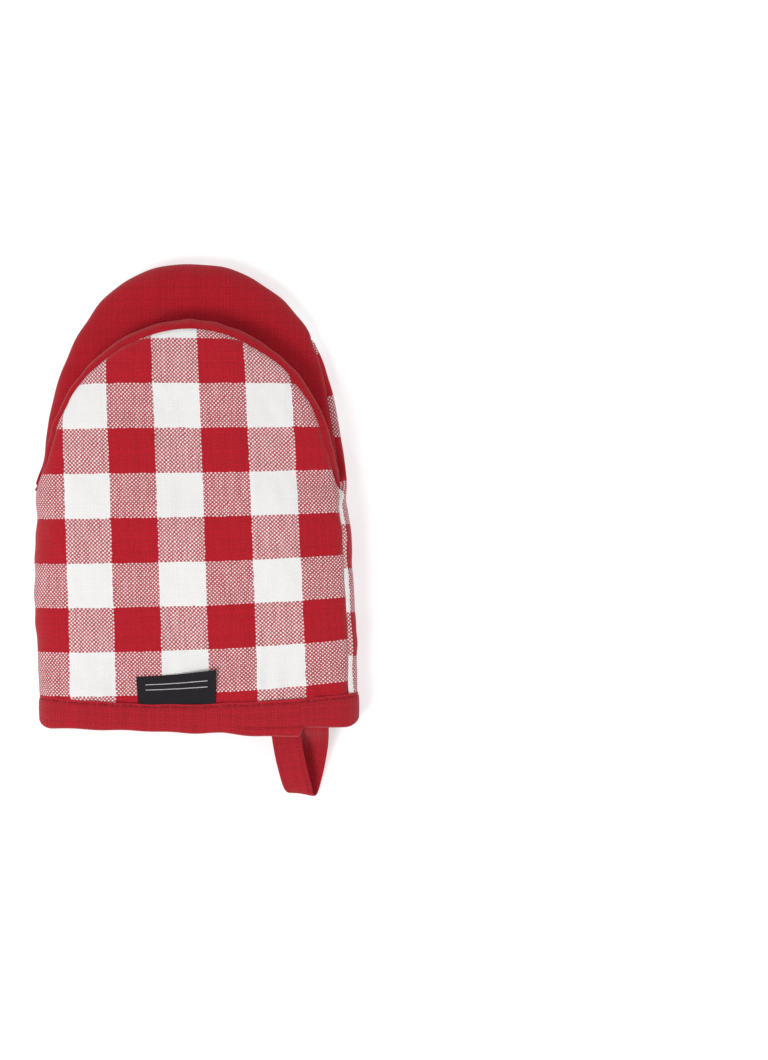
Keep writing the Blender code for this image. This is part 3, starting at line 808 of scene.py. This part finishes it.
hem_rings = []
wave_fine = ring_wave(63, 6, 18)
for share, offset in hem_profile:
    y = hem_low + (hem_high - hem_low) * share
    if offset > 0:
        crease = np.exp(-((y - (0.9 + 0.7 * (hem_x - 17) / 28)) / 0.38) ** 2)
        where = ease(15, 23, hem_x) * (1 - ease(46, 50, hem_x)) * ease(0.2, 0.8, frontness)
        bulge = offset + 0.10 * wave_fine * max(0.0, min(1.0, share)) - 0.8 * crease * where
    else:
        bulge = np.full(loop_count, offset)
    flat = base_loop + base_normal * bulge[:, None]
    hem_rings.append(np.column_stack([flat[:, 0], y, flat[:, 1]]))
hem_rings = np.array(hem_rings)
hem_rings[..., 2] = np.maximum(hem_rings[..., 2], 0.02)
m, k = hem_rings.shape[:2]
idx = np.arange(m * k).reshape(m, k)
nxt = np.roll(idx, -1, axis=1)
faces = np.concatenate([np.column_stack([idx[a], nxt[a], nxt[(a + 1) % m], idx[(a + 1) % m]])
                        for a in range(m)])
verts = hem_rings.reshape(-1, 3) * MM
verts[:, 1] += CUFF_Y * MM
around = np.tile(loop_run, m)
across = np.repeat(np.concatenate([[0], np.cumsum(np.linalg.norm(
    np.diff(hem_rings[:, 0], axis=0), axis=1))]), k)
hem = mesh_object("cuff_hem", verts, faces, np.column_stack([around, across]), [hem_red])


def capsule_mesh(centres, ways, ups, length, width, height, name, material):
    """Many small stitches in one mesh."""
    verts, faces, flat = [], [], []
    rings, sides = 7, 8
    for centre, way, up in zip(centres, ways, ups):
        side = np.cross(way, up)
        start = len(verts)
        size = length * rng.uniform(0.9, 1.08)
        skew = rng.normal(0, 0.06)
        for a in np.linspace(0, math.pi, rings):
            radius = max(0.02, math.sin(a)) ** 0.55
            along = -math.cos(a) * size / 2
            for b in range(sides):
                q = math.tau * b / sides
                verts.append(centre + way * along
                             + side * (math.cos(q) * width / 2 * radius + skew * along)
                             + up * math.sin(q) * height / 2 * radius)
                flat.append((along, q))
        for r in range(rings - 1):
            for b in range(sides):
                c = (b + 1) % sides
                faces.append((start + r * sides + b, start + r * sides + c,
                              start + (r + 1) * sides + c, start + (r + 1) * sides + b))
        for end, order in ((0, -1), (rings - 1, 1)):
            ring = [start + end * sides + b for b in range(sides)][::order]
            faces.append((ring[0], ring[1], ring[2], ring[3]))
            faces.append((ring[0], ring[3], ring[4], ring[7]))
            faces.append((ring[4], ring[5], ring[6], ring[7]))
    v = np.array(verts) * MM
    v[:, 1] += CUFF_Y * MM
    return mesh_object(name, v, faces, flat, [material])


STITCH_SHARE = 0.885         # height of the topstitch line on the binding
STITCH_PITCH = 2.62
STITCH_LENGTH, STITCH_WIDTH, STITCH_HEIGHT = 1.95, 0.5, 0.36
places, ways, ups = [], [], []
for run in np.arange(0.0, loop_length - 1.5, STITCH_PITCH):
    a = int(np.searchsorted(loop_run, run)) % loop_count
    n2 = base_normal[a]
    y = hem_low[a] + (hem_high[a] - hem_low[a]) * STITCH_SHARE
    p = base_loop[a] + n2 * 0.56
    b = (a + 3) % loop_count
    p2 = base_loop[b] + base_normal[b] * 0.56
    y2 = hem_low[b] + (hem_high[b] - hem_low[b]) * STITCH_SHARE
    way = np.array([p2[0] - p[0], y2 - y, p2[1] - p[1]])
    way /= np.linalg.norm(way)
    places.append(np.array([p[0], y, max(p[1], 0.25)]))
    ways.append(way)
    ups.append(np.array([n2[0], 0.0, n2[1]]))
# the stitches use the darkened thread colour, painted shade of the stitch holes
hem_stitches = capsule_mesh(places, ways, ups, STITCH_LENGTH, STITCH_WIDTH, STITCH_HEIGHT,
                            "hem_stitches", hem_thread_with_painted_shade)

# -------------------------------------------------------------------- label
tree = BVHTree.FromPolygons([v.co.copy() for v in front_wall.data.vertices],
                            [tuple(p.vertices) for p in front_wall.data.polygons])


def drop_on_front(x, y):
    hit = tree.ray_cast(Vector((x * MM, (y + CUFF_Y) * MM, 0.1)), Vector((0, 0, -1)))
    return hit[0].z / MM if hit[0] else CUFF_Z


label_mat = Nodes("black woven label")
uv = label_mat.add("ShaderNodeUVMap", uv_map="cloth").outputs[0]
split = label_mat.add("ShaderNodeSeparateXYZ")
label_mat.put(split.inputs[0], uv)
rib_x = label_mat.math("SINE", label_mat.math("MULTIPLY", split.outputs[0], math.tau / 0.30))
rib_y = label_mat.math("SINE", label_mat.math("MULTIPLY", split.outputs[1], math.tau / 0.24))
rib = label_mat.math("MULTIPLY", rib_x, rib_y)
from_middle = label_mat.math("ABSOLUTE", label_mat.math("SUBTRACT", split.outputs[1], 8.0))
from_stripe = label_mat.math("ABSOLUTE", label_mat.math("SUBTRACT", from_middle, 1.2))
stripe = label_mat.math("LESS_THAN", from_stripe, 0.16)
inside = label_mat.math("LESS_THAN", label_mat.math("ABSOLUTE", split.outputs[0]), 13.0)
line = label_mat.math("MULTIPLY", stripe, inside)
rib_share = label_mat.math("MULTIPLY_ADD", rib, 0.5, 0.5)
dark = label_mat.mix(rib_share, colour(27, 25, 28), colour(46, 43, 47))
label_mat.put(label_mat.shader.inputs["Base Color"], label_mat.mix(line, dark, colour(190, 188, 192)))
label_mat.shader.inputs["Roughness"].default_value = 0.85
label_mat.shader.inputs["Specular IOR Level"].default_value = 0.12
bump = label_mat.add("ShaderNodeBump")
bump.inputs["Strength"].default_value = 0.4
bump.inputs["Distance"].default_value = 0.0001
label_mat.put(bump.inputs["Height"], rib)
label_mat.put(label_mat.shader.inputs["Normal"], bump.outputs[0])

lx0, lx1 = -25.2, 8.1        # ends of the label's sewn edge
LABEL_W, LABEL_H = 33.3, 13.0
LABEL_CLEAR, LABEL_T = 0.42, 0.34
cols_l, rows_l = 67, 29
grid = np.zeros((rows_l, cols_l, 3))
luv = np.zeros((rows_l, cols_l, 2))
for r in range(rows_l):
    for c in range(cols_l):
        s, t = c / (cols_l - 1), r / (rows_l - 1)
        low = np.array([lx0 + (lx1 - lx0) * s + 0.1, 10.9 + 0.3 * s])
        high = np.array([lx0 - 0.7 + (lx1 + 0.5 - lx0 + 0.7) * s,
                         22.9 + 3.2 * s - 0.4 * math.sin(math.pi * s)])
        q = low + (high - low) * t
        lift = (2.6 * t ** 1.6 * s ** 2.2 + 0.35 * t * (1 - s)
                + 0.25 * math.sin(3.0 * s * math.pi + 0.6) * t)
        grid[r, c] = (q[0], q[1], drop_on_front(q[0], q[1]) + LABEL_CLEAR + lift)
        luv[r, c] = ((s - 0.5) * LABEL_W, t * LABEL_H)
for _ in range(6):
    z = grid[..., 2].copy()
    z[1:-1, 1:-1] = (z[:-2, 1:-1] + z[2:, 1:-1] + z[1:-1, :-2] + z[1:-1, 2:]) / 4
    grid[..., 2] = z
label_verts = np.concatenate([grid.reshape(-1, 3), (grid - [0, 0, LABEL_T]).reshape(-1, 3)])
index = np.arange(rows_l * cols_l).reshape(rows_l, cols_l)
shift = rows_l * cols_l
a, b = index[:-1, :-1].ravel(), index[:-1, 1:].ravel()
c, e = index[1:, 1:].ravel(), index[1:, :-1].ravel()
edge = np.concatenate([index[0, :], index[1:, -1], index[-1, -2::-1], index[-2:0:-1, 0]])
edge_next = np.roll(edge, -1)
faces = np.concatenate([np.column_stack([a, b, c, e]), np.column_stack([a, e, c, b]) + shift,
                        np.column_stack([edge_next, edge, edge + shift, edge_next + shift])])
v = label_verts * MM
v[:, 1] += CUFF_Y * MM
flat = np.concatenate([luv.reshape(-1, 2)] * 2)
label = mesh_object("label_cloth", v, faces, flat, [label_mat.mat])

# --------------------------------------------------------------------- loop
HEM_INSIDE = 20.4            # height of the binding's inner face, where the tape's ends are sewn
loop_points = np.array([
    # x, y, z and the tilt across the tape in degrees, from the left tail round to the right one
    (37.9, 3.2, HEM_INSIDE, -4), (38.0, 0.4, HEM_INSIDE - 0.4, -4), (38.3, -4.0, HEM_INSIDE - 3.0, -3),
    (39.5, -12.0, 13.8, 2), (41.0, -19.0, 10.8, 6), (42.4, -24.5, 8.4, 9), (43.8, -28.4, 5.6, 9),
    (45.2, -28.0, 2.8, 8), (46.4, -24.0, 2.0, 9), (48.2, -17.0, 2.8, 14), (49.7, -9.0, 5.8, 20),
    (50.1, -4.0, 10.4, 14), (50.2, -0.6, 15.4, 3), (50.2, 3.2, HEM_INSIDE - 1.0, -10)], float)


def loop_path(t):
    """Centre of the tape and its tilt, on a smooth curve through the points."""
    place = t * (len(loop_points) - 1)
    k = min(int(place), len(loop_points) - 2)
    f = place - k
    p0 = loop_points[max(k - 1, 0)]
    p1, p2 = loop_points[k], loop_points[k + 1]
    p3 = loop_points[min(k + 2, len(loop_points) - 1)]
    q = 0.5 * (2 * p1 + (p2 - p0) * f + (2 * p0 - 5 * p1 + 4 * p2 - p3) * f ** 2
               + (3 * p1 - p0 - 3 * p2 + p3) * f ** 3)
    return q[:3], math.radians(q[3])


steps, width_l, thick_l = 170, 12.6, 1.0
FOLD_SLANT = -0.15           # the fold's right end lies lower than its left end
section = []
for a in np.linspace(-1, 1, 33):
    edge_soft = max(0.0, 1 - abs(a) ** 8)
    groove = -0.26 * math.exp(-((abs(a) - 0.74) / 0.07) ** 2)
    section.append((a * width_l / 2, thick_l / 2 * (0.35 + 0.65 * edge_soft) + groove))
section = section + [(x, -z) for x, z in section[::-1]]
rings, tape_uv, run = [], [], 0.0
previous = None
raw = [loop_path(i / steps) for i in range(steps + 1)]
centres = np.array([r[0] for r in raw])
tilts = np.array([r[1] for r in raw])
for _ in range(5):
    centres[1:-1] = (centres[:-2] + 2 * centres[1:-1] + centres[2:]) / 4
    tilts[1:-1] = (tilts[:-2] + 2 * tilts[1:-1] + tilts[2:]) / 4
fold_at = centres[:, 1].argmin()
from_fold = np.arange(steps + 1) - fold_at
fold = np.exp(-(from_fold / 9.0) ** 2)
fold_left = np.where(from_fold < 0, fold, np.exp(-(from_fold / 45.0) ** 2))


def tape_frame(i):
    """Direction along the tape, across it and out of its face."""
    way = centres[min(i + 1, steps)] - centres[max(i - 1, 0)]
    way /= np.linalg.norm(way)
    across = np.array([math.cos(tilts[i]), FOLD_SLANT * fold[i], math.sin(tilts[i])])
    across -= way * (across @ way)
    across /= np.linalg.norm(across)
    return way, across, np.cross(across, way)


def narrowing(i, side):
    """The tape draws in at its fold, most on the left."""
    return 1 - 0.22 * fold_left[i] if side < 0 else 1 - 0.05 * fold[i]


for i in range(steps + 1):
    way, across, up = tape_frame(i)
    if previous is not None:
        run += np.linalg.norm(centres[i] - previous)
    previous = centres[i]
    for x, z in section:
        rings.append(centres[i] + across * x * narrowing(i, x) + up * z)
        tape_uv.append((x + (20 if z < 0 else 0), run))
rings = np.array(rings)
rings[:, 2] = np.maximum(rings[:, 2], 0.15)
k = len(section)
faces = []
for i in range(steps):
    for j in range(k):
        c = (j + 1) % k
        faces.append((i * k + j, i * k + c, (i + 1) * k + c, (i + 1) * k + j))
half_k = k // 2
for end in (0, steps):
    for j in range(half_k - 1):
        quad = (end * k + j, end * k + j + 1, end * k + k - 2 - j, end * k + k - 1 - j)
        faces.append(quad if end else quad[::-1])
v = rings * MM
v[:, 1] += CUFF_Y * MM
tape = mesh_object("loop_tape", v, faces, tape_uv, [tape_red])
places, ways, ups = [], [], []
for i in range(4, steps - 3, 3):
    way, across, up = tape_frame(i)
    for side in (-0.72, 0.72):
        for face in (-1, 1):
            places.append(centres[i] + across * side * narrowing(i, side) * width_l / 2
                          + up * face * (thick_l / 2 - 0.12))
            ways.append(way)
            ups.append(up * face)
loop_stitches = capsule_mesh(places, ways, ups, 1.0, 0.3, 0.22, "loop_stitches", red_thread)

# ------------------------------------------------------------ frame bindings
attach(back_wall, "sleeve")
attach(finger_mouth, "sleeve")
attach(hem, "sleeve")
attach(hem_stitches, "sleeve")
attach(thumb_mouth, "thumb_jaw")
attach(label, "label")
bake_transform(front_wall)
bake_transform(tape)
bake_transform(loop_stitches)

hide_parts("back_cover", "back_batting", "back_lining", "side_seam_thread_left",
            "side_seam_thread_right", "finger_edge_seam_thread")
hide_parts("front_cover_palm", "front_batting_palm", "front_lining_palm",
            "front_cover_bend", "front_batting_bend", "front_lining_bend",
            "front_cover_thumb", "front_batting_thumb", "front_lining_thumb")
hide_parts("finger_mouth_cover", "finger_mouth_batting", "finger_mouth_lining")
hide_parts("thumb_mouth_cover", "thumb_mouth_batting", "thumb_mouth_lining",
            "thumb_edge_seam_thread")
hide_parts("cuff_binding")
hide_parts("cuff_topstitch")
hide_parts("hanging_loop", "loop_tail_left", "loop_tail_right")
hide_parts("loop_tack_left", "loop_tack_right")
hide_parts("woven_label")

# -------------------------------------------------------------------- studio
floor_mat = Nodes("pale floor")
floor_mat.shader.inputs["Base Color"].default_value = (0.60, 0.60, 0.60, 1)
floor_mat.shader.inputs["Roughness"].default_value = 0.9
floor_mat.shader.inputs["Specular IOR Level"].default_value = 0.0
floor_mat.shader.inputs["Emission Color"].default_value = (1, 1, 1, 1)
floor_mat.shader.inputs["Emission Strength"].default_value = 0.52
mesh = bpy.data.meshes.new("floor")
FLOOR_REACH, FLOOR_Z = 6.0, -0.0002
corners = [(FLOOR_REACH * x, FLOOR_REACH * y, FLOOR_Z) for x, y in ((-1, -1), (1, -1), (1, 1), (-1, 1))]
mesh.from_pydata(corners, [], [(0, 1, 2, 3)])
mesh.materials.append(floor_mat.mat)
floor = bpy.data.objects.new("floor", mesh)
bpy.context.scene.collection.objects.link(floor)


def area_light(name, place, size, power):
    data = bpy.data.lights.new(name, "AREA")
    data.shape = "DISK"
    data.size = size
    data.energy = power
    lamp = bpy.data.objects.new(name, data)
    lamp.location = place
    lamp.rotation_euler = (-Vector(place)).to_track_quat("-Z", "Y").to_euler()
    bpy.context.scene.collection.objects.link(lamp)


area_light("key", (-0.7, -0.75, 1.7), 0.8, 20.5)
area_light("fill", (0.6, 0.9, 1.8), 1.8, 7.0)
world = bpy.data.worlds.new("studio")
world.use_nodes = True
world.node_tree.nodes["Background"].inputs[0].default_value = (1, 1, 1, 1)
world.node_tree.nodes["Background"].inputs[1].default_value = 0.56
bpy.context.scene.world = world

camera_data = bpy.data.cameras.new("camera")
camera_data.lens = 100.0
camera_data.sensor_width = 36.0
camera_data.clip_end = 20.0
camera = bpy.data.objects.new("camera", camera_data)
FRAME_HEIGHT = 0.4558        # metres that the picture takes in from top to bottom
VIEW_X, VIEW_Z = 0.0804, 0.024
distance = FRAME_HEIGHT / 2 / math.tan(math.atan(18.0 / camera_data.lens))
camera.location = (VIEW_X, 0.0, VIEW_Z + distance)
camera.rotation_euler = (0.0, 0.0, 0.0)
bpy.context.scene.collection.objects.link(camera)
bpy.context.scene.camera = camera
bpy.context.scene.view_settings.view_transform = "Standard"
bpy.context.scene.view_settings.look = "None"
